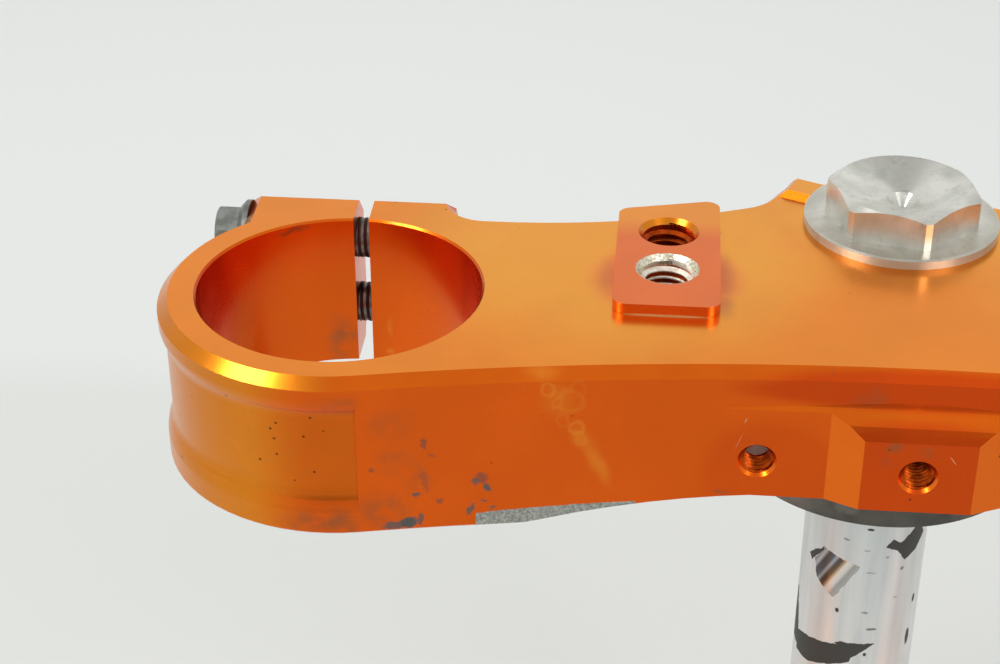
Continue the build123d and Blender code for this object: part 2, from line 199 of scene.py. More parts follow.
def shards(point: Socket, outlines: Outlines, edge: float) -> Socket:
    """Draw convex outlines as a mask.

    Args:
        point: Place on the unrolled surface, in metres.
        outlines: Corners of each outline, anticlockwise, in millimetres.
        edge: Width over which the mask rises, in millimetres.

    Returns:
        A socket that is 1 inside the outlines and 0 outside.
    """
    total: Number = 0.0
    for corners in outlines:
        depth: Number = 1.0
        for first, second in zip(corners, [*corners[1:], corners[0]]):
            along = (Vector(second) - Vector(first)).normalized()
            inward = (-along.y, along.x, 0.0)
            offset = (inward[0] * first[0] + inward[1] * first[1]) * MM
            across = add("VectorMath.DOT_PRODUCT", (point, inward))
            inside = add("Math.SUBTRACT", (across, offset))
            depth = add("Math.MINIMUM", (inside, depth))
        rise = add("MapRange", span(depth, high=edge * MM))
        total = add("Math.MAXIMUM", (rise, total))
    return total


def torn(point: Socket, size: float, throw: float) -> Socket:
    """Push a place about with noise, so that what is drawn with it has torn edges.

    Args:
        point: Place, in metres.
        size: Size of the tears, in millimetres.
        throw: How far they reach, in millimetres.

    Returns:
        The pushed place.
    """
    tears = add("TexNoise", pattern(point, size, Detail=3.0))
    centred = add("VectorMath.SUBTRACT", (tears.node.outputs["Color"], (0.5,) * 3))
    return add("VectorMath.MULTIPLY_ADD", (centred, (2 * throw * MM,) * 3, point))


def painted(base: Ink, coats: Coats) -> Socket:
    """Lay coats of colour over a base.

    Args:
        base: First colour.
        coats: Each coat's mask and colour, from the lowest up.

    Returns:
        The finished colour.
    """
    for mask, colour in coats:
        layers = {MIX_SHARE: mask, MIX_FIRST: base, MIX_SECOND: colour}
        base = add("Mix", layers, data_type="RGBA")
    return base


def bumped(layers: Iterable[tuple[Socket, float]]) -> Socket:
    """Raise layers of fine relief on a surface.

    Args:
        layers: Each layer's mask and its height where the mask is 1, in millimetres.

    Returns:
        The bent normal.
    """
    height: Number = 0.0
    for mask, rise in layers:
        height = add("Math.MULTIPLY_ADD", (mask, rise * MM, height))
    return add("Bump", {"Height": height, "Distance": 1.0, "Strength": 1.0})


def new_material(name: str) -> tuple[Material, bpy.types.Node, Any]:
    """Start a material.

    Args:
        name: Name of the real material.

    Returns:
        The material, its surface shader and the coordinates of its surface.
    """
    material = bpy.data.materials.new(name)
    material.use_nodes = True
    tree = material.node_tree
    return material, tree.nodes["Principled BSDF"], add("TexCoord", tree=tree).node.outputs


def fill(ramp: bpy.types.ColorRamp, stops: Sequence[tuple[float, str]]) -> None:
    """Set a colour ramp's stops.

    Args:
        ramp: The ramp.
        stops: Each stop's place, from 0 to 1, and colour.
    """
    while len(ramp.elements) < len(stops):
        ramp.elements.new(0.5)
    for element, (place, colour) in zip(ramp.elements, stops):
        element.position = place
        element.color = srgb(colour)


def put(name: str, data: bpy.types.ID) -> Piece:
    """Put data into the scene as a new object.

    Args:
        name: The object's name.
        data: Its mesh, lamp or camera.

    Returns:
        The object.
    """
    made = bpy.data.objects.new(name, data)
    bpy.context.scene.collection.objects.link(made)
    return made


# Marks on the top clamp, in millimetres in the row frame
SMEARS = marks(
    (-93.4, -67, 186.6, 3, 3, 1.3, 0.85, -6), (-91, -66.6, 187, 2.4, 3, 1.5, 1, -10),
    (-88.9, -66.1, 187.6, 0.7, 3, 1.6, 0.8, 12), (-79, -64.2, 195.3, 1, 3, 1, 0.7),
    (-76.9, -64, 193.9, 0.7, 3, 1.6, 0.9, -18), (-79.9, -64.4, 189.2, 0.7, 3, 1.9, 0.8, 28),
    (-89.6, -66.3, 193, 0.9, 3, 0.7, 0.8), (-77.5, -64, 190.8, 0.5, 3, 0.5, 0.8),
    (-76, -63.8, 189.3, 0.8, 3, 0.5, 0.7, -30),
)
BRUISES = marks(
    (-77.9, -64.1, 195.9, 1.8, 3, 1.6, 0.9), (-88, -66, 204, 0.6, 3, 1.5, 0.9, 10),
    (-86.5, -65.7, 201.4, 0.8, 3, 0.6, 0.6), (-85.3, -65.5, 191.4, 1.3, 3, 0.7, 0.8),
    (-88, -66, 196, 0.8, 3, 3.4, 0.5, -12), (-97.2, -68, 199, 0.5, 3, 0.5, 0.8),
)
SMUDGES = marks(
    (-112.7, -8.5, 190.5, 5, 3, 7, 0.9), (-120.5, -11.2, 217, 7, 2.5, 1, 1, -3),
    (-94, -67, 208.5, 6.5, 4, 5, 0.4), (-93.4, -67.1, 201, 5.5, 4, 5, 0.55),
    (-89.3, -66.2, 196.5, 4, 4, 5.5, 0.45), (-96, -67.4, 190, 8.5, 4, 5, 0.6),
    # The wide spot low on the ring's front darkens the ring towards its lower edge
    (-103.1, -68.8, 212.8, 8, 4, 2.6, 0.55, 3), (-106, -69.2, 188, 12, 4, 4, 0.95),
    (-34, -58.7, 192, 2, 3, 0.8, 0.9), (-16.5, -56.9, 216.9, 0.8, 2, 0.8, 0.9),
    (-4.6, -61.5, 205.4, 2.4, 2, 1.6, 0.95), (0.3, -61.5, 204.6, 2.6, 2, 1.8, 0.75),
    (-6.3, -61.5, 201.9, 2, 2, 2.4, 0.6), (-9, -57.4, 213, 5, 2, 2.5, 0.6),
)
PAD_STAINS = marks(
    (-35.6, -25, 218, 3.6, 13, 1.5, 0.45), (-35.4, -36.5, 218, 3, 6.5, 1.5, 0.5),
    (-57.2, -27, 218, 3, 10, 1.5, 0.25),
)
STREAK = marks(
    (-67.4, -60.9, 217.2, 5, 3, 2.2, 0.8), (-64.4, -61.9, 212.4, 4.4, 3, 5.6, 0.45, -30),
    (-59.8, -61.4, 203.8, 2.5, 3, 5.2, 0.75, -30), (-57.2, -61, 198.4, 2.3, 3, 8, 0.85, -24),
    (-102, -8.6, 193.5, 0.9, 3, 3.4, 0.5), (-102.3, -8.6, 187.8, 1.6, 3, 1.4, 0.7),
)
BUBBLES = marks(
    (-66.2, -62, 214.4, 1.8, 3, 1.9, 0.9), (-62.2, -61.6, 211.8, 3.1, 3, 3.2, 0.6, -20),
    (-63.4, -61.8, 207.8, 1.4, 3, 1.7, 0.5), (-61, -61.5, 206.1, 1.8, 3, 2),
    (-60.7, -61.5, 214.2, 1.8, 3, 2.1, 0.35), (-64.6, -61.9, 211.6, 1.1, 3, 1.5, 0.7, 15),
    (-60.2, -61.3, 203.4, 1.3, 3, 1.6, 0.4),
)
SCRATCHES = marks(
    (-32, -58.7, 203, 0.12, 2, 2.4, 0.25, 20), (-31, -58.7, 207.6, 0.12, 2, 0.7, 0.7, 20),
    (5.7, -61.5, 203, 0.12, 2, 1.4, 0.6, -36),
)
FLECK_PLACES = (
    (-123.5, -64, 211.2), (-114.2, -67.4, 207.9), (-115.3, -67.2, 206.5), (-114.7, -67.3, 204.5),
    (-109.2, -68.1, 205.7), (-107.8, -68.1, 209.8), (-114.4, -67.4, 201.2), (-117.7, -66.5, 199.3),
    (-107.6, -68.1, 198.2),
)
FLECKS = tuple(Spot(place, (0.36, 2.0, 0.36)) for place in FLECK_PLACES)

# Painted shade, a deeper orange that stands in for shade and dark reflections: on the wall over the ledge
# and beside the boss, on the boss, on the bevel that tops it and in the bores
DEEP_SHADE_SPOTS = marks(
    (0, -57, 214.2, 40, 6, 4.4), (0, -62, 198, 22, 5, 18, 0.9),
    (0, -61.4, 206.7, 30, 2.4, 1.4), (-26, -58.7, 196, 15, 5, 14, 0.45),
    (26, -58.7, 196, 15, 5, 14, 0.45), (-134, -37, 204, 8, 22, 26),
    (134, -37, 204, 8, 22, 26),
)

# Ground-off wedge along the front wall's lower edge, seen from the front, in X and Z
GROUND_WEDGE: Outlines = (
    ((-79, 180), (-50, 180), (-50, 189.9), (-60, 189.5), (-74.6, 188.7), (-79, 188.2)),
)


@dataclass(frozen=True)
class OrangeAnodised:
    """Anodised aluminium: milled, dyed orange and sealed.

    The dyed oxide is thin and clear, so the metal shines through it: satin reflections take the dye's
    colour, and hollows glow redder with each bounce. Sun has bleached the upward faces to gold. Painted
    reflections and shade are laid into the colour as well, by the way each face turns. A pair
    named for a turn says from which part of the surface normal to which one a mask rises.
    """

    name: str = "orange anodised aluminium"
    deep: str = "#E7600F"
    # Painted light and shade over the base: a brighter painted reflection on sideways faces, a painted
    # reflection in the ring's relief, painted shading on slopes, deeper painted shade in hollows and
    # bores, and a golden painted reflection and highlight on the rings' walls and bevels
    deep_shade: str = "#D64A08"
    flank_reflection: str = "#F2741A"
    relief: str = "#DA6510"
    slant_shading: str = "#DE620A"
    gold_fade_and_reflection: str = "#DC801B"
    faded: str = "#FC9128"
    dusky: str = "#FFA838"
    unfaded_and_painted_light: str = "#F57B3E"
    grime: str = "#9C5A34"
    stain: str = "#B0623C"
    speck: str = "#3A2010"
    scratch: str = "#EFC39A"
    water_mark: str = "#F49A34"
    smear: str = "#65625F"
    bruise: str = "#A0563C"
    foot_line: str = "#F6CDA6"
    ground: tuple[str, str] = ("#8B8E8A", "#B9BAB2")
    rim: tuple[str, str] = ("#C2BAA2", "#F0EAD6")
    roughness: Flat = (0.2, 0.32)
    raw_roughness: float = 0.55
    seal: float = 0.14
    seal_roughness: float = 0.12
    sunlit_turn: Flat = (0.78, 0.98)
    upright_turn: Flat = (0.5, 0.2)
    flank_turn: Flat = (0.2, 0.55)
    slope_turn: Flat = (0.35, 0.6)
    gilt_turn: Flat = (0.0, 0.42)
    edge_turn: Flat = (-0.12, 0.1)
    level_turn: Flat = (0.3, 0.15)
    mottle_mm: float = 16.0
    mottle: Flat = (0.3, 0.7)
    mottle_shade: Flat = (0.95, 1.04)
    speck_mm: float = 5.0
    speck_chance: float = 0.3
    speck_reach: float = 0.065
    speck_cover: float = 0.8
    bubble_film: float = 0.72
    bubble_cover: float = 0.65
    mark_cover: float = 0.5
    smudge_mm: float = 3.0
    smudge_breaks: Flat = (0.3, 0.6)
    smudge_cover: float = 0.85
    smear_rise: float = -0.02
    grit_mm: float = 0.55
    grit: Flat = (0.35, 0.65)
    grit_rise: float = 0.05
    grain_mm: float = 0.9
    grain_rise: float = 0.004
    worn: bool = True

    def build(self, clamp: "TopClamp") -> Material:
        """Make the material.

        Args:
            clamp: Sizes of the top clamp.

        Returns:
            The material.
        """
        material, shader, place = new_material(self.name)
        point = place["Object"]
        facing = add("SeparateXYZ", (place["Normal"],)).node.outputs
        sunlit = add("MapRange", span(facing["Z"], *self.sunlit_turn), **SMOOTH)
        patchy = add("TexNoise", pattern(point, self.mottle_mm, Detail=4.0))
        bleached: Ink = self.faded
        coats = self._painted_light(point, facing, clamp)
        if self.worn:
            covered, raised = clamp.covered(point)
            bleached = painted(bleached, [(clamp.near_bolt(point), self.dusky), (covered, self.unfaded_and_painted_light)])
            # Raised faces on the pads take the gold; their upright sides take the unfaded orange,
            # lightened there as painted light
            upright = add("MapRange", span(facing["Z"], *self.upright_turn))
            side = add("Math.MULTIPLY", (raised, upright))
            coats += [(raised, self.gold_fade_and_reflection), (side, self.unfaded_and_painted_light)]
        colour = painted(self.deep, [*coats, (sunlit, bleached)])
        shade = add("MapRange", span(patchy, *self.mottle, *self.mottle_shade))
        colour = add("HueSaturation", {"Color": colour, "Value": shade})
        rough = add("MapRange", span(patchy, 0, 1, *self.roughness))
        colour = painted(colour, [(self._specks(point), self.speck)])
        # The satin's own grain is too fine to show, so it is drawn coarser
        grain = add("TexNoise", pattern(point, self.grain_mm))
        layers = [(grain, self.grain_rise)]
        if self.worn:
            colour, rough, worn = self._wear(point, clamp, colour, rough)
            layers += worn
        wire(shader, {
            "Base Color": colour, "Roughness": rough, "Normal": bumped(layers), "Metallic": 1.0,
            "Coat Weight": self.seal, "Coat Roughness": self.seal_roughness,
        })
        return material

    def _painted_light(self, point: Socket, facing: Any, clamp: "TopClamp") -> Coats:
        """Painted reflections and shade on walls, slopes, reliefs and rings, laid on by the way each face
        turns.

        Args:
            point: Place, in metres.
            facing: Sockets of the surface normal's parts.
            clamp: Sizes of the clamp.

        Returns:
            Coats of colour with their masks, from the lowest up.
        """
        place = add("SeparateXYZ", (point,)).node.outputs
        turned = add("Math.ABSOLUTE", (facing["X"],))
        # Sideways faces ahead of the front wall take a brighter orange: a painted reflection
        flank_reflection = add("MapRange", span(turned, *self.flank_turn), **SMOOTH)
        ahead = add("Math.LESS_THAN", (place["Y"], clamp.front * MM))
        flank_reflection = add("Math.MULTIPLY", (flank_reflection, ahead))
        # Faces sloping up take a slightly darker orange: painted shading
        slope = add("MapRange", span(facing["Z"], *self.slope_turn), **SMOOTH)
        if not self.worn:
            return [(flank_reflection, self.flank_reflection), (slope, self.slant_shading)]
        # Outward faces of the rings' walls take a golden painted reflection, and their bevels a golden
        # painted highlight
        hand = add("Math.SIGN", (place["X"],))
        outward = add("Math.MULTIPLY", (hand, facing["X"]))
        gold_reflection = add("MapRange", span(outward, *self.gilt_turn), **SMOOTH)
        edge = add("MapRange", span(outward, *self.edge_turn), **SMOOTH)
        edge = add("Math.MULTIPLY", (edge, slope))
        gold_reflection = add("Math.MAXIMUM", (gold_reflection, edge))
        ring = clamp.on_ring(point, offset=0.0, width=2.5)
        gold_reflection = add("Math.MULTIPLY", (gold_reflection, ring))
        level = add("MapRange", span(turned, *self.level_turn))
        within = add("Math.SUBTRACT", (1.0, ahead))
        level = add("Math.MAXIMUM", (level, within))
        # Painted shade in hollows and bores, on faces not turned sideways at the front
        deep_shade_mask = spots(point, DEEP_SHADE_SPOTS, soft=0.35)
        deep_shade_mask = add("Math.MULTIPLY", (deep_shade_mask, level))
        # Painted light and shade: a brighter painted reflection on sideways faces, a painted reflection in
        # the ring's relief, painted shading on slopes, deeper painted shade in hollows and bores, and a
        # golden painted reflection and highlight on the rings' walls and bevels
        return [
            (flank_reflection, self.flank_reflection), (clamp.on_ring(point, offset=-1.3, width=0.7), self.relief),
            (slope, self.slant_shading), (deep_shade_mask, self.deep_shade), (gold_reflection, self.gold_fade_and_reflection),
        ]

    def _specks(self, point: Socket) -> Socket:
        """Mask of the small black specks, those on the left ring and others all over.

        Args:
            point: Place, in metres.

        Returns:
            A socket that is the specks' cover on them.
        """
        cells = add("TexVoronoi", pattern(point, self.speck_mm))
        chance = add("SeparateColor", (cells.node.outputs["Color"],))
        size = add("MapRange", span(chance, low=self.speck_chance, end=self.speck_reach))
        inside = add("Math.LESS_THAN", (cells, size))
        inside = add("Math.MAXIMUM", (inside, spots(point, FLECKS, soft=0.6)))
        return add("Math.MULTIPLY", (inside, self.speck_cover))

    def _wear(self, point: Socket, clamp: "TopClamp", colour: Socket,
              rough: Socket) -> tuple[Socket, Socket, list[tuple[Socket, float]]]:
        """Lay smudges, the water mark, scratches, chips and the ground-off wedge over the dye.

        Args:
            point: Place, in metres.
            clamp: Sizes of the clamp.
            colour: Colour so far.
            rough: Roughness so far.

        Returns:
            The colour and the roughness with the wear on them, and the wear's layers of relief.
        """
        ragged = torn(point, size=1.1, throw=0.9)
        cloudy = torn(point, size=5.0, throw=2.5)
        noise = add("TexNoise", pattern(point, self.smudge_mm, Detail=5.0))
        broken = add("MapRange", span(noise, *self.smudge_breaks))
        smudge = spots(cloudy, SMUDGES, soft=0.95)
        smudge = add("Math.MULTIPLY", (smudge, broken))
        mark = self._water_mark(point)
        dull = add("Math.MULTIPLY", (smudge, self.smudge_cover))
        smeared = spots(ragged, SMEARS, soft=0.5)
        bruised = spots(ragged, BRUISES, soft=0.6)
        scratched = spots(point, SCRATCHES, soft=0.6)
        foot = spots(point, clamp.pad_feet(), soft=0.4)
        stained = spots(torn(point, size=4.0, throw=0.8), PAD_STAINS, soft=0.9)
        split = add("SeparateXYZ", (point,)).node.outputs
        seen = add("CombineXYZ", {"X": split["X"], "Y": split["Z"]})
        wedge = shards(torn(seen, size=0.8, throw=0.25), GROUND_WEDGE, edge=0.15)
        in_front = add("Math.LESS_THAN", (split["Y"], clamp.front * MM))
        wedge = add("Math.MULTIPLY", (wedge, in_front))
        rims = clamp.worn_holes(point)
        grit = self._grit(point)
        colour = painted(colour, [
            (mark, self.water_mark), (dull, self.grime), (stained, self.stain), (scratched, self.scratch),
            (foot, self.foot_line), (bruised, self.bruise), (smeared, self.smear),
            (wedge, painted(self.ground[0], [(grit, self.ground[1])])),
            (rims, painted(self.rim[0], [(grit, self.rim[1])])),
        ])
        raw = add("Math.MAXIMUM", (smeared, wedge))
        rough = add("MapRange", span(raw, start=rough, end=self.raw_roughness))
        bare = add("Math.MAXIMUM", (wedge, rims))
        pitted = add("Math.MULTIPLY", (bare, grit))
        return colour, rough, [(pitted, self.grit_rise), (smeared, self.smear_rise)]

    def _water_mark(self, point: Socket) -> Socket:
        """Mask of the dried water mark: a run with a rim of burst bubbles at its top.

        Args:
            point: Place, in metres.

        Returns:
            A socket that rises with the mark's strength.
        """
        cloudy = torn(point, size=5.0, throw=1.2)
        run = spots(cloudy, STREAK, soft=0.95)
        wavy = torn(point, size=2.4, throw=0.8)
        inner = [replace(b, reach=tuple(r * self.bubble_film for r in b.reach)) for b in BUBBLES]
        outer = spots(wavy, BUBBLES, soft=0.35)
        hollow = spots(wavy, inner, soft=0.5)
        rims = add("Math.SUBTRACT", (outer, hollow))
        mark = add("Math.MULTIPLY_ADD", (rims, self.bubble_cover, run))
        return add("Math.MULTIPLY", (mark, self.mark_cover))

    def _grit(self, point: Socket) -> Socket:
        """Mask of the tops of bare metal's coarse ground grit."""
        noise = add("TexNoise", pattern(point, self.grit_mm, Detail=3.0))
        return add("MapRange", span(noise, *self.grit))


@dataclass(frozen=True)
class TurnedAluminium:
    """Bare aluminium, turned on a lathe and handled for years.

    The turning's fine rings stretch each reflection across them, so that light and dark fan out from
    the middle. Knocks leave cloudy, duller patches, and the colour turns darker and warmer out over the
    flange.
    """

    name: str = "turned bare aluminium"
    bright: str = "#ECEBE4"
    cloudy: str = "#C6C6BE"
    grimy: str = "#ACACA4"
    flange_tint_colour: str = "#B8AE9C"
    roughness: Flat = (0.2, 0.34)
    flats: float = 0.3
    rim: float = 0.5
    upright_turn: Flat = (0.5, 0.2)
    hex_reach: float = 15.6
    flange_tint_reach: Flat = (0.8, 1.2)
    flange_tint_cover: float = 0.55
    metallic: float = 0.95
    anisotropy: float = 0.85
    cloud_mm: float = 7.0
    clouds: Flat = (0.35, 0.7)
    knock_mm: float = 7.0 / 3
    knocks: Flat = (0.6, 0.9)
    knock_rise: float = -0.006
    ring_mm: float = 0.9
    ring_rise: float = 0.001

    def build(self) -> Material:
        """Make the material.

        Returns:
            The material.
        """
        material, shader, place = new_material(self.name)
        point = place["Object"]
        cloud = add("TexNoise", pattern(point, self.cloud_mm, Detail=5.0, Distortion=0.5))
        dull = add("MapRange", span(cloud, *self.clouds))
        knocks = add("TexNoise", pattern(point, self.knock_mm, Detail=4.0))
        grime = add("MapRange", span(knocks, *self.knocks))
        flat = add("VectorMath.MULTIPLY", (point, (1, 1, 0)))
        away = add("VectorMath.LENGTH", (flat,))
        reach = self.hex_reach * MM
        # The colour turns darker and warmer outward over the flange
        ends = [share * reach for share in self.flange_tint_reach]
        flange_tint = add("MapRange", span(away, *ends, end=self.flange_tint_cover))
        colour = painted(self.bright, [(dull, self.cloudy), (grime, self.grimy), (flange_tint, self.flange_tint_colour)])
        facing = add("SeparateXYZ", (place["Normal"],)).node.outputs["Z"]
        handled = add("MapRange", span(facing, *self.upright_turn))
        rough = add("MapRange", span(dull, 0, 1, *self.roughness))
        outside = add("Math.GREATER_THAN", (away, reach))
        side = add("MapRange", span(outside, start=self.flats, end=self.rim))
        rough = add("MapRange", span(handled, start=rough, end=side))
        # The lathe's own rings are too fine to show, so they are drawn coarser
        rings = pattern(point, self.ring_mm * WAVE_RATE / math.tau)
        wave = {"wave_type": "RINGS", "rings_direction": "Z"}
        turning = add("TexWave", rings, **wave).node.outputs["Fac"]
        tangent = add("Tangent", tree=shader.id_data, direction_type="RADIAL", axis="Z")
        relief = bumped([(turning, self.ring_rise), (grime, self.knock_rise)])
        wire(shader, {
            "Base Color": colour, "Roughness": rough, "Tangent": tangent, "Normal": relief,
            "Metallic": self.metallic, "Anisotropic": self.anisotropy, "Anisotropic Rotation": 0.25,
        })
        return material


@dataclass(frozen=True)
class FlakedStem:
    """Steering stem of drawn aluminium, silver coated, with the coat torn off in flakes.

    The coat is satin and pale, with painted reflections of the surroundings streaked down it, its tears
    are dark and dull with straight jagged edges, and one knock has laid a mirror-bright facet bare,
    whose reflections are painted into its colour in slanting stripes.
    """

    name: str = "silver coated aluminium stem"
    coat: str = "#F8FFFF"
    shade: str = "#DCE6E8"
    under: str = "#454847"
    roughness: float = 0.36
    torn_roughness: float = 0.6
    facet_roughness: float = 0.15
    metallic: float = 0.2
    streak_mm: float = 4.0
    reflection_streaks: Flat = (0.35, 0.7)
    streak_rise: float = 0.01
    drawn: Point = (1.0, 1.0, 0.08)
    coat_mm: float = 0.05
    radius: float = 13.2
    facet_lean: float = 62.0

    def build(self) -> Material:
        """Make the material.

        Returns:
            The material.
        """
        material, shader, place = new_material(self.name)
        point = place["Object"]
        unrolled = self._unrolled(point)
        ragged = torn(unrolled, size=1.4, throw=0.4)
        flakes = shards(ragged, STEM_FLAKES, edge=0.08)
        dashes = spots(ragged, STEM_DASHES, soft=0.3)
        gone = add("Math.MAXIMUM", (flakes, dashes))
        knock = shards(ragged, STEM_KNOCK, edge=0.15)
        # Vertical streaks of paler coat and darker shade are painted reflections of the surroundings down
        # the round stem
        drawn = add("VectorMath.MULTIPLY", (point, self.drawn))
        reflection_streaks = add("TexNoise", pattern(drawn, self.streak_mm, Detail=4.0))
        shaded = add("MapRange", span(reflection_streaks, *self.reflection_streaks))
        colour = painted(self.coat, [
            (shaded, self.shade),
            (knock, self._facet_reflections(unrolled)),
            (gone, self.under),
        ])
        rough = add("MapRange", span(knock, start=self.roughness, end=self.facet_roughness))
        rough = add("MapRange", span(gone, start=rough, end=self.torn_roughness))
        metal = add("MapRange", span(gone, start=self.metallic, end=0.0))
        relief = [(gone, -self.coat_mm), (reflection_streaks, self.streak_rise), (knock, -self.coat_mm)]
        wire(shader, {
            "Base Color": colour, "Roughness": rough, "Metallic": metal, "Normal": bumped(relief),
        })
        return material

    def _unrolled(self, point: Socket) -> Socket:
        """Unroll the stem's skin.

        Args:
            point: Place, in metres.

        Returns:
            The place's arc from +X and its height, in metres.
        """
        split = add("SeparateXYZ", (point,)).node.outputs
        turn = add("Math.ARCTAN2", (split["Y"], split["X"]))
        arc = add("Math.MULTIPLY", (turn, self.radius * MM))
        return add("CombineXYZ", {"X": arc, "Y": split["Z"]})

    def _facet_reflections(self, unrolled: Socket) -> Socket:
        """Paint the knocked facet's reflections into its colour as slanting stripes.

        Args:
            unrolled: Place on the unrolled skin, in metres.

        Returns:
            The facet's colour, with its painted reflections.
        """
        lean = math.radians(self.facet_lean)
        slant = (math.sin(lean), -math.cos(lean), 0)
        across = add("VectorMath.DOT_PRODUCT", (unrolled, slant))
        ends = [(slant[0] * s + slant[1] * z) * MM for s, z in STEM_KNOCK[0]]
        share = add("MapRange", span(across, min(ends), max(ends)))
        ramp = add("ValToRGB", (share,))
        # Stripes of dark slate, white and beige are painted reflections
        stops = (
            (0.0, "#6A7076"), (0.12, "#C9CED0"), (0.2, "#444B51"), (0.34, "#59636B"), (0.41, "#B4C6D0"),
            (0.48, "#57504A"), (0.57, "#6F5B46"), (0.63, "#D2B48E"), (0.68, "#FFFBF2"), (0.78, "#F1F1EC"),
            (0.86, "#AEB3B1"), (1.0, "#C4C7C4"))
        fill(ramp.node.color_ramp, stops)
        return ramp


# Torn places of the stem's coat on its unrolled skin: arc from +X and height, in millimetres
STEM_FLAKES: Outlines = (
    ((-14.7, 145.9), (-12.6, 142.7), (-9.4, 144.2), (-6.7, 147.5), (-8.6, 151.8), (-14.4, 147.6)),
    ((-17.7, 147.3), (-14, 145.6), (-13.6, 147.4), (-16, 149.3)),
    ((-37.7, 111.3), (-32.9, 111.2), (-22.5, 115.7), (-22.1, 118.3), (-25, 120.9), (-34.4, 117.9),
     (-38.7, 116.9)),
    ((-26.5, 120.2), (-22.6, 116.6), (-17.4, 121.2), (-25.2, 120.9)),
    ((-41.3, 113), (-37.7, 112.5), (-37.4, 117.2), (-38.6, 121.5), (-39.8, 127), (-41.3, 127)),
    ((-36, 139.9), (-34.6, 138.4), (-31, 143.4), (-31.1, 144.6), (-34, 141.6)),
    ((-12.6, 100.2), (-3, 97.5), (1.5, 101), (-6, 104.4)),
    ((14, 132), (19, 130), (22, 136.5), (17, 138)),
    ((26, 90), (34, 88), (33, 94.5), (28, 95)),
)
STEM_KNOCK: Outlines = (
    ((-32.6, 135), (-27.7, 131.9), (-22.3, 142), (-30.9, 144), (-33.6, 139.6)),
)
STEM_DASHES = marks(
    (-21.2, 151.9, 0, 0.9, 0.35, 9), (-26, 148.3, 0, 0.9, 0.3, 9, 0.6),
    (-21.4, 146.3, 0, 0.7, 0.25, 9, 0.4), (-20.1, 140.5, 0, 1.3, 0.16, 9, 0.6),
    (-17, 144.5, 0, 0.5, 0.3, 9, 0.6), (-13, 140.7, 0, 0.5, 0.5, 9, 0.7),
    (-13.9, 133, 0, 0.7, 0.25, 9, 0.4), (-20.5, 129.7, 0, 0.8, 0.35, 9, 0.6),
    (-18.6, 125.1, 0, 1.5, 0.3, 9, 0.8), (-19.5, 118.1, 0, 0.5, 0.5, 9),
    (-26.5, 129.1, 0, 0.5, 0.7, 9), (-7.5, 129.9, 0, 0.7, 1.4, 9),
    (-8.2, 119.6, 0, 0.9, 2.6, 9), (-12, 108, 0, 0.9, 0.4, 9),
    (5, 118, 0, 0.6, 1.2, 9), (9, 146, 0, 1.2, 0.4, 9),
    (30, 120, 0, 0.9, 0.5, 9),
)


@dataclass(frozen=True)
class Weathered:
    """A plain finish that weather has mottled, on metal, moulded plastic or rubber.

    Zinc plate dulls to a cloudy grey, and dust settles on the plastic in pale patches.
    """

    name: str
    colour: str
    mottled: str
    roughness: float
    metallic: float
    patch_mm: float
    relief_mm: float = 0.008
    dust: str | None = None
    film: str = "#A3A298"
    dust_and_sheen_spots: tuple[Spot, ...] = ()
    patches: Flat = (0.38, 0.66)
    dulling: float = 0.18
    settle_turn: Flat = (0.1, 0.5)
    dust_cover: float = 0.85
    dust_least: float = 0.55

    def build(self) -> Material:
        """Make the material.

        Returns:
            The material.
        """
        material, shader, place = new_material(self.name)
        point = place["Object"]
        noise = add("TexNoise", pattern(point, self.patch_mm, Detail=6.0))
        patch = add("MapRange", span(noise, *self.patches))
        rough = add("MapRange", span(patch, start=self.roughness, end=self.roughness + self.dulling))
        coats = [(patch, self.mottled)]
        if self.dust_and_sheen_spots:
            # Pale patches of dust, with a painted reflection at the cap's left
            cloudy = torn(point, size=4.0, throw=3.0)
            coats.append((spots(cloudy, self.dust_and_sheen_spots, soft=0.8), self.film))
        if self.dust:
            upward = add("SeparateXYZ", (place["Normal"],)).node.outputs["Z"]
            settled = add("MapRange", span(upward, *self.settle_turn, end=self.dust_cover))
            blown = add("MapRange", span(patch, start=1.0, end=self.dust_least))
            settled = add("Math.MULTIPLY", (settled, blown))
            coats.append((settled, self.dust))
        wire(shader, {
            "Base Color": painted(self.colour, coats), "Roughness": rough,
            "Normal": bumped([(noise, self.relief_mm)]), "Metallic": self.metallic,
        })
        return material


# Dust and dried mud on the cap's front, and at its left a painted reflection of the bright surroundings
CAP_DUST_AND_SHEEN = marks(
    (-20, -25, 170, 11, 12, 8, 0.5), (-9, -31, 170, 4, 5, 2.6, 0.35),
    (17, -27, 169, 7, 7, 4, 0.35),
)
ZINC = Weathered("zinc plated steel", "#8E918C", "#6E716C", 0.38, 1.0, 2.5)
# The pinch shanks' near-black is painted shade for the shadow in the fork slots
SLOT_SHADOW_STEEL = Weathered("oiled steel shank", "#2E2220", "#453430", 0.45, 0.6, 2.0)
DUSTY_CAP = Weathered("dusty moulded plastic", "#424440", "#5E5F58", 0.5, 0.0, 5.0, 0.06, "#B8C8C6",
                      dust_and_sheen_spots=CAP_DUST_AND_SHEEN)
SEAL = Weathered("nitrile rubber", "#1B1B1B", "#2C2C2B", 0.6, 0.0, 3.0, 0.03)
DYED_THREAD = Weathered("dyed thread flanks", "#C04E14", "#8A340C", 0.25, 1.0, 1.5)
WORN_THREAD = Weathered("worn bare thread crests", "#F2ECE0", "#CFC2B4", 0.45, 0.8, 1.2)


def mount(name: str) -> tuple[Vector, dict[str, float]]:
    """Place and sizes of a mount of the record, in millimetres."""
    found = next(m for m in frame["record"]["mounts"] if m["name"] == name)
    return Vector(found["pos_m"]) / MM, found["dims"]


def dress(nodes: Iterable[str], material: Material) -> None:
    """Give CAD nodes a material.

    Args:
        nodes: Names of the nodes.
        material: Their finish.
    """
    for name in nodes:
        for slot in frame["nodes"][name].material_slots:
            slot.material = material
        LOG.info("%s: %s", name, material.name)


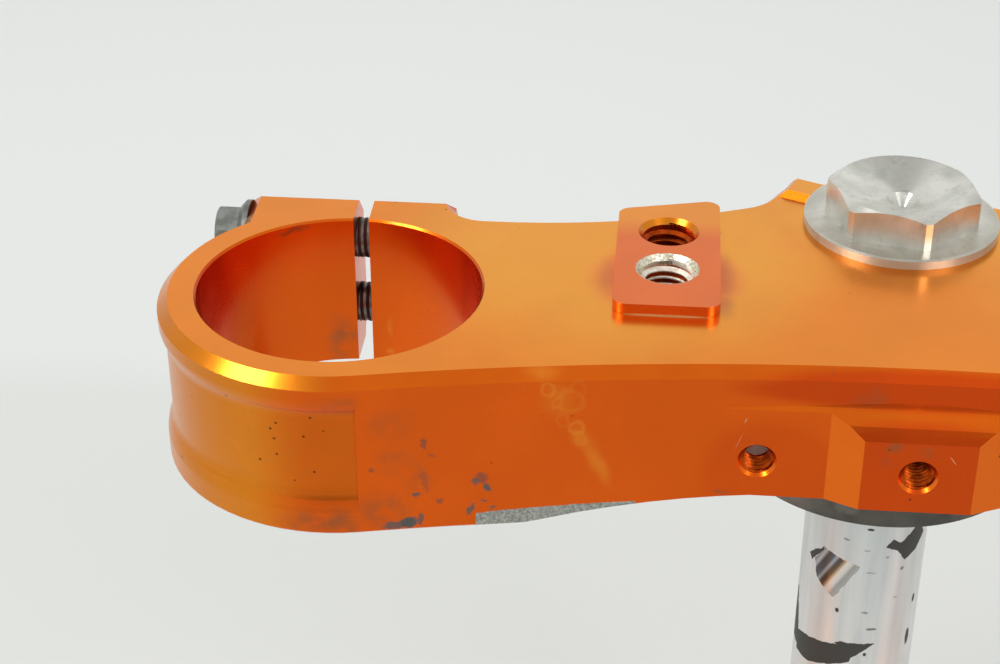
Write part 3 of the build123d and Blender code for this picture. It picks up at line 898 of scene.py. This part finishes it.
@dataclass
class TopClamp:
    """Top clamp: sizes in millimetres that its finish follows."""

    top: float
    fork: Vector
    ring: float
    bar: Vector
    bar_pitch: float
    pad_rise: float = 2.2
    pad_reach: float = 14.2
    foot_rise: Flat = (0.1, 0.3)
    foot_reach: Point = (10.6, 0.45, 0.24)
    rim_reach: Point = (6.15, 6.15, 3.5)
    halo: float = 16.5
    halo_core: float = 0.6
    halo_cover: float = 0.9
    shade_past: Flat = (5.0, -3.0)
    shade_least: float = 0.3
    hub_y: float = 8.0
    hub_reach: Point = (46.0, 36.0, 60.0)
    web_y: float = -14.0
    web_out: float = 1.2
    web_reach: Point = (50.0, 52.0, 60.0)
    front: float = -50.0

    @classmethod
    def from_frame(cls) -> "TopClamp":
        """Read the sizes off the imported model.

        Returns:
            The clamp's sizes.
        """
        _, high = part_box("top_clamp")
        fork, _ = mount("upper_fork_right")
        place, sizes = mount("bar_mounts")
        pitch = sizes["spacing_y_mm"]
        bar = Vector((sizes["spacing_x_mm"] / 2, place.y - pitch / 2, 0))
        ring = high.x / MM - fork.x
        return cls(top=high.z / MM - cls.pad_rise, fork=fork, ring=ring, bar=bar, bar_pitch=pitch)

    def pad_feet(self) -> list[Spot]:
        """Bright line along the foot of each handlebar pad's front."""
        y, z = self.bar.y - self.pad_reach, self.top + self.foot_rise[0]
        return [Spot((side.value * self.bar.x, y, z), self.foot_reach, strength=0.9) for side in Side]

    def covered(self, point: Socket) -> tuple[Socket, Socket]:
        """Mask of what the handlebar clamps kept from the sun.

        Args:
            point: Place, in metres.

        Returns:
            Sockets that are 1 on each pad's front and in the halo round its front hole, and 1 on what
            stands above the top face there.
        """
        cloudy = torn(point, size=6.0, throw=1.0)
        split = add("SeparateXYZ", (cloudy,)).node.outputs
        across = add("Math.ABSOLUTE", (split["X"],))
        side = add("Math.SUBTRACT", (across, self.bar.x * MM))
        ahead = add("Math.SUBTRACT", (split["Y"], self.bar.y * MM))
        away = add("VectorMath.LENGTH", (add("CombineXYZ", (side, ahead)),))
        halo = self.halo * MM
        disc = add("MapRange", span(away, halo, self.halo_core * halo, end=self.halo_cover), **SMOOTH)
        ends = [(self.bar_pitch + past) * MM for past in self.shade_past]
        front = add("MapRange", span(ahead, *ends, start=self.shade_least))
        height = add("SeparateXYZ", (point,)).node.outputs["Z"]
        foot = [(self.top + rise) * MM for rise in self.foot_rise]
        pad = add("MapRange", span(height, *foot))
        near = add("Math.LESS_THAN", (away, 2 * halo))
        pad = add("Math.MULTIPLY", (pad, near))
        shaded = add("Math.MULTIPLY", (pad, front))
        return add("Math.MAXIMUM", (shaded, disc)), pad

    def worn_holes(self, point: Socket) -> Socket:
        """Mask of the front bar holes' rims, worn through to the metal.

        Args:
            point: Place, in metres.

        Returns:
            A socket that is 1 on the rims.
        """
        ragged = torn(point, size=0.9, throw=0.25)
        level = self.top + self.pad_rise
        rims = [Spot((side.value * self.bar.x, self.bar.y, level), self.rim_reach) for side in Side]
        return spots(ragged, rims, soft=0.04)

    def near_bolt(self, point: Socket) -> Socket:
        """Mask of the top face round the bolt and the pads, where the dye has bleached most.

        Args:
            point: Place, in metres.

        Returns:
            A socket that is 1 there.
        """
        cloudy = torn(point, size=25.0, throw=8.0)
        bleached = [Spot((0, self.hub_y, self.top), self.hub_reach)]
        for side in Side:
            out = side.value * self.bar.x * self.web_out
            bleached.append(Spot((out, self.web_y, self.top), self.web_reach))
        return spots(cloudy, bleached, soft=0.5)

    def on_ring(self, point: Socket, offset: float, width: float) -> Socket:
        """Mask of what lies about a ring's outer wall.

        Args:
            point: Place, in metres.
            offset: How far outside the wall the mask's middle is, in millimetres.
            width: How far it reaches to either side.

        Returns:
            A socket that is 1 there.
        """
        folded = add("VectorMath.MULTIPLY", (point, (1, 1, 0)))
        folded = add("VectorMath.ABSOLUTE", (folded,))
        centre = (self.fork.x * MM, -self.fork.y * MM, 0)
        away = add("VectorMath.DISTANCE", (folded, centre))
        return add("Math.COMPARE", (away, (self.ring + offset) * MM, width * MM))


@dataclass
class Thread:
    """Helical thread ridge on a shank or inside a hole, in millimetres.

    The half widths of its root, shoulders and crest are shares of the pitch. Both ends run out to a
    share of the height. The crown is the numbers of the faces above the shoulders.
    """

    name: str
    mouth: Vector
    inward: Vector
    root: float
    crest: float
    length: float
    pitch: float
    material: Material
    slot: Slot = Slot.ORANGE
    worn: Material | None = None
    steps: int = 40
    bare_turns: float = 1.5
    half_widths: Point = (0.46, 0.2, 0.07)
    end_height: float = 0.02
    crown: tuple[int, ...] = (1, 2, 3)

    def build(self) -> None:
        """Sweep the ridge and put it in its place."""
        count = int(self.length / self.pitch * self.steps)
        work = bmesh.new()
        rows = []
        for step in range(count + 1):
            turn = math.tau * step / self.steps
            run = step / self.steps * self.pitch
            ends = min(1.0, 2 * step / self.steps, 2 * (count - step) / self.steps)
            top = self.root + (self.crest - self.root) * max(self.end_height, ends)
            shoulder = top + (self.root - top) / 3
            half = [*zip((self.root, shoulder, top), self.half_widths)]
            section = [(r, -share) for r, share in half] + half[::-1]
            rows.append([
                work.verts.new((r * math.cos(turn), r * math.sin(turn), run + share * self.pitch))
                for r, share in section
            ])
        for step, (first, second) in enumerate(zip(rows, rows[1:])):
            for low, corner in enumerate(first):
                high = (low + 1) % len(first)
                face = work.faces.new((corner, first[high], second[high], second[low]))
                bare = step < self.bare_turns * self.steps or low in self.crown
                face.material_index = int(bare and self.worn is not None)
        work.faces.new(rows[0])
        work.faces.new(list(reversed(rows[-1])))
        bmesh.ops.recalc_face_normals(work, faces=work.faces)
        mesh = bpy.data.meshes.new(self.name)
        work.to_mesh(mesh)
        work.free()
        for face in mesh.polygons:
            face.use_smooth = False
        for finish in filter(None, (self.material, self.worn)):
            mesh.materials.append(finish)
        piece = put(self.name, mesh)
        turn = Vector((0, 0, 1)).rotation_difference(self.inward).to_matrix().to_4x4()
        mesh.transform(Matrix.Translation(self.mouth * MM) @ turn @ Matrix.Scale(MM, 4))
        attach(piece, BODY)
        LOG.info("%s: %d turns", self.name, int(self.length / self.pitch))


@dataclass
class ThreadSet:
    """Threads of the handlebar holes and of the small holes in the front wall."""

    dyed: Material
    worn: Material
    bar_pitch: float = 1.5
    bar_length: float = 27.0
    small_pitch: float = 1.0
    wall_length: float = 5.4
    boss_length: float = 16.5
    lead_in: float = 0.3
    bite: float = 0.04
    depth: float = 0.54

    def _radii(self, hole: float, pitch: float) -> Flat:
        """Radii of a thread's root, sunk in the wall of its hole, and of its crest."""
        return hole + self.bite, hole - self.depth * pitch

    def build(self) -> None:
        """Cut every thread."""
        self._bar_threads()
        self._front_threads()

    def _bar_threads(self) -> None:
        """Threads of the handlebar holes, with crests worn bare in the front ones."""
        centre, sizes = mount("bar_mounts")
        down = Vector((0, 0, -1))
        pitch = self.bar_pitch
        radii = self._radii(sizes["hole_r_mm"], pitch)
        for side in Side:
            for row, ahead, worn in (("front", -0.5, self.worn), ("rear", 0.5, None)):
                offset = Vector((side.value * sizes["spacing_x_mm"] / 2, ahead * sizes["spacing_y_mm"], 0))
                mouth = centre + offset + down * self.lead_in
                name = f"bar_thread_{side.name.lower()}_{row}"
                Thread(name, mouth, down, *radii, self.bar_length, pitch, self.dyed, worn=worn).build()

    def _front_threads(self) -> None:
        """Threads of the small holes: two through the wall and one in the boss."""
        centre, sizes = mount("front_side_holes")
        back = Vector((0, 1, 0))
        pitch = self.small_pitch
        radii = self._radii(sizes["hole_r_mm"], pitch)
        for side in Side:
            mouth = centre + Vector((side.value * sizes["spacing_x_mm"] / 2, self.lead_in, 0))
            name = f"front_thread_{side.name.lower()}"
            Thread(name, mouth, back, *radii, self.wall_length, pitch, self.dyed).build()
        middle, sizes = mount("front_boss_hole")
        mouth = middle - back * (sizes["length_mm"] / 2 - self.lead_in)
        radii = self._radii(sizes["r_mm"], pitch)
        Thread("boss_thread", mouth, back, *radii, self.boss_length, pitch, self.dyed).build()


@dataclass
class PinchShanks:
    """Threads of the fork pinch bolts where their shanks cross the slots, in millimetres."""

    root: float = 3.9
    crest: float = 4.12
    length: float = 6.25
    pitch: float = 1.25

    def build(self) -> None:
        """Put a length of near-black thread on each fork pinch bolt, its colour painted shade for the
        slot's shadow.
        """
        slot_shadowed = SLOT_SHADOW_STEEL.build()
        bolts = [name for name in frame["nodes"] if name.endswith(("_upper_bolt", "_lower_bolt"))]
        for bolt in bolts:
            low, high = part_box(bolt)
            level = "upper" if "top_" in bolt else "lower"
            hand = "left" if "_left_" in bolt else "right"
            fork, _ = mount(f"{level}_fork_{hand}")
            middle = Vector((0, (low.y + high.y) / 2, (low.z + high.z) / 2)) / MM
            start = middle + Vector((fork.x - self.length / 2, 0, 0))
            thread = Thread(bolt + "_thread", start, Vector((1, 0, 0)), self.root, self.crest, self.length,
                            self.pitch, slot_shadowed, Slot.ZINC)
            thread.build()


def looked_at(tree: Tree) -> Socket:
    """Mask of the rays that show a surface to the eye: straight, mirrored or through glass.

    Args:
        tree: Nodes of the material or the world.

    Returns:
        A socket that is 1 for these rays.
    """
    path = add("LightPath", tree=tree).node.outputs
    shown: Number = 0.0
    for ray in ("Is Camera Ray", "Is Glossy Ray", "Is Transmission Ray"):
        shown = add("Math.MAXIMUM", (shown, path[ray]))
    return shown


@dataclass
class Studio:
    """Camera, floor and soft light. Lengths in millimetres, angles in degrees."""

    eye: Point = (-48.296, -356.817, 402.169)
    tilt: float = 59.181
    turn: float = 5.116
    lens: float = 71.41
    sensor: float = 36.0
    floor_half: float = 9000.0
    # The floor's tones: darker in front of the part as painted shade for the shadow cast from the camera's
    # side, with a step to paler further back
    floor_tones_and_shade: tuple[tuple[float, str], ...] = (
        (-600, "#C6C8C5"), (-100, "#CBCDCA"), (255, "#D0D2CF"), (285, "#D6D8D6"), (1200, "#E8EAE9"))
    floor_roughness: float = 0.6
    floor_glow: float = 0.45
    glow_from: float = 720.0
    glow_full: float = 1700.0
    world_colour: str = "#EDEEEC"
    world_light: float = 0.57
    world_shown: float = 0.95
    dim_places: tuple[tuple[Point, float, float, float], ...] = (
        ((0.0, -0.93, 0.37), 0.84, 0.98, 0.55), ((0.1, 0.42, 0.9), 0.92, 0.985, 0.5))

    def build(self) -> None:
        """Set up the whole studio."""
        bpy.context.scene.view_settings.view_transform = "Standard"
        self._world()
        self._camera()
        self._floor()
        self._softbox("key_softbox", (-900, -450, 1150), (-300, -50, 0), size=460, watts=9.5)
        overhead = self._softbox("top_softbox", (0, 450, 1500), (0, 200, 100), size=900, watts=10.0)
        overhead.visible_glossy = False
        self._softbox("fill_softbox", (800, -900, 900), (0, 0, 150), size=700, watts=5.0)

    def _camera(self) -> None:
        """Put the camera at the photograph's place and angle."""
        data = bpy.data.cameras.new("camera")
        data.lens = self.lens
        data.sensor_width = self.sensor
        data.sensor_fit = "HORIZONTAL"
        data.clip_start = 10 * MM
        camera = put("camera", data)
        camera.location = metres(self.eye)
        camera.rotation_euler = (math.radians(self.tilt), 0, math.radians(self.turn))
        bpy.context.scene.camera = camera

    def _world(self) -> None:
        """Make pale surroundings, dim before the part and high behind it, and shown so in reflections."""
        world = bpy.data.worlds.new("studio")
        world.use_nodes = True
        tree = world.node_tree
        shown = looked_at(tree)
        strength = add("MapRange", span(shown, start=self.world_light, end=self.world_shown))
        heading = add("TexCoord", tree=tree).node.outputs["Generated"]
        for middle, edge, core, share in self.dim_places:
            near = add("VectorMath.DOT_PRODUCT", (heading, middle))
            room = add("MapRange", span(near, edge, core, 1.0, share), **SMOOTH)
            strength = add("Math.MULTIPLY", (strength, room))
        wire(tree.nodes["Background"], {"Color": self.world_colour, "Strength": strength})
        bpy.context.scene.world = world

    def _floor(self) -> None:
        """Lay a wide floor under the part, as pale in the distance as it is near the lamps."""
        half = self.floor_half * MM
        mesh = bpy.data.meshes.new("floor")
        corners = [(-half, -half, 0), (half, -half, 0), (half, half, 0), (-half, half, 0)]
        mesh.from_pydata(corners, [], [(0, 1, 2, 3)])
        material, shader, place = new_material("pale painted board")
        point = place["Object"]
        depth = add("SeparateXYZ", (point,)).node.outputs["Y"]
        first, last = self.floor_tones_and_shade[0][0], self.floor_tones_and_shade[-1][0]
        share = add("MapRange", span(depth, first * MM, last * MM))
        ramp = add("ValToRGB", (share,))
        fill(ramp.node.color_ramp, [((y - first) / (last - first), tone) for y, tone in self.floor_tones_and_shade])
        away = add("VectorMath.LENGTH", (point,))
        rise = span(away, self.glow_from * MM, self.glow_full * MM, end=self.floor_glow)
        glow = add("MapRange", rise, **SMOOTH)
        glow = add("Math.MULTIPLY", (glow, looked_at(material.node_tree)))
        wire(shader, {
            "Base Color": ramp, "Roughness": self.floor_roughness, "Emission Strength": glow,
            "Emission Color": self.world_colour,
        })
        material.cycles.emission_sampling = "NONE"
        mesh.materials.append(material)
        floor = put("floor", mesh)

    def _softbox(self, name: str, place: Point, aim: Point, size: float, watts: float) -> Piece:
        """Hang a square soft lamp.

        Args:
            name: Lamp's name.
            place: Its centre.
            aim: What it points at.
            size: Length of its side.
            watts: Its power.

        Returns:
            The lamp.
        """
        data = bpy.data.lights.new(name, "AREA")
        data.size = size * MM
        data.energy = watts
        lamp = put(name, data)
        lamp.location = metres(place)
        lamp.rotation_euler = (Vector(aim) - Vector(place)).to_track_quat("-Z", "Y").to_euler()
        return lamp


def dress_nodes() -> None:
    """Give every CAD node its finish."""
    clamp = TopClamp.from_frame()
    dress(["top_clamp"], OrangeAnodised().build(clamp))
    dress(["bottom_clamp"], OrangeAnodised("plain orange anodised aluminium", worn=False).build(clamp))
    dress(["stem_bolt"], TurnedAluminium().build())
    dress(["steering_stem"], FlakedStem().build())
    dress(["dust_cap"], DUSTY_CAP.build())
    dress(["stem_o_ring"], SEAL.build())
    bolts = [name for name in frame["nodes"] if name.endswith("_bolt") and name != "stem_bolt"]
    dress(bolts, ZINC.build())
    PinchShanks().build()


def main() -> None:
    """Build the studio, dress the part and report each piece."""
    logging.basicConfig(level=logging.INFO, format="%(name)s: %(message)s")
    Studio().build()
    dress_nodes()
    ThreadSet(DYED_THREAD.build(), WORN_THREAD.build()).build()


if __name__ == "__main__":
    main()
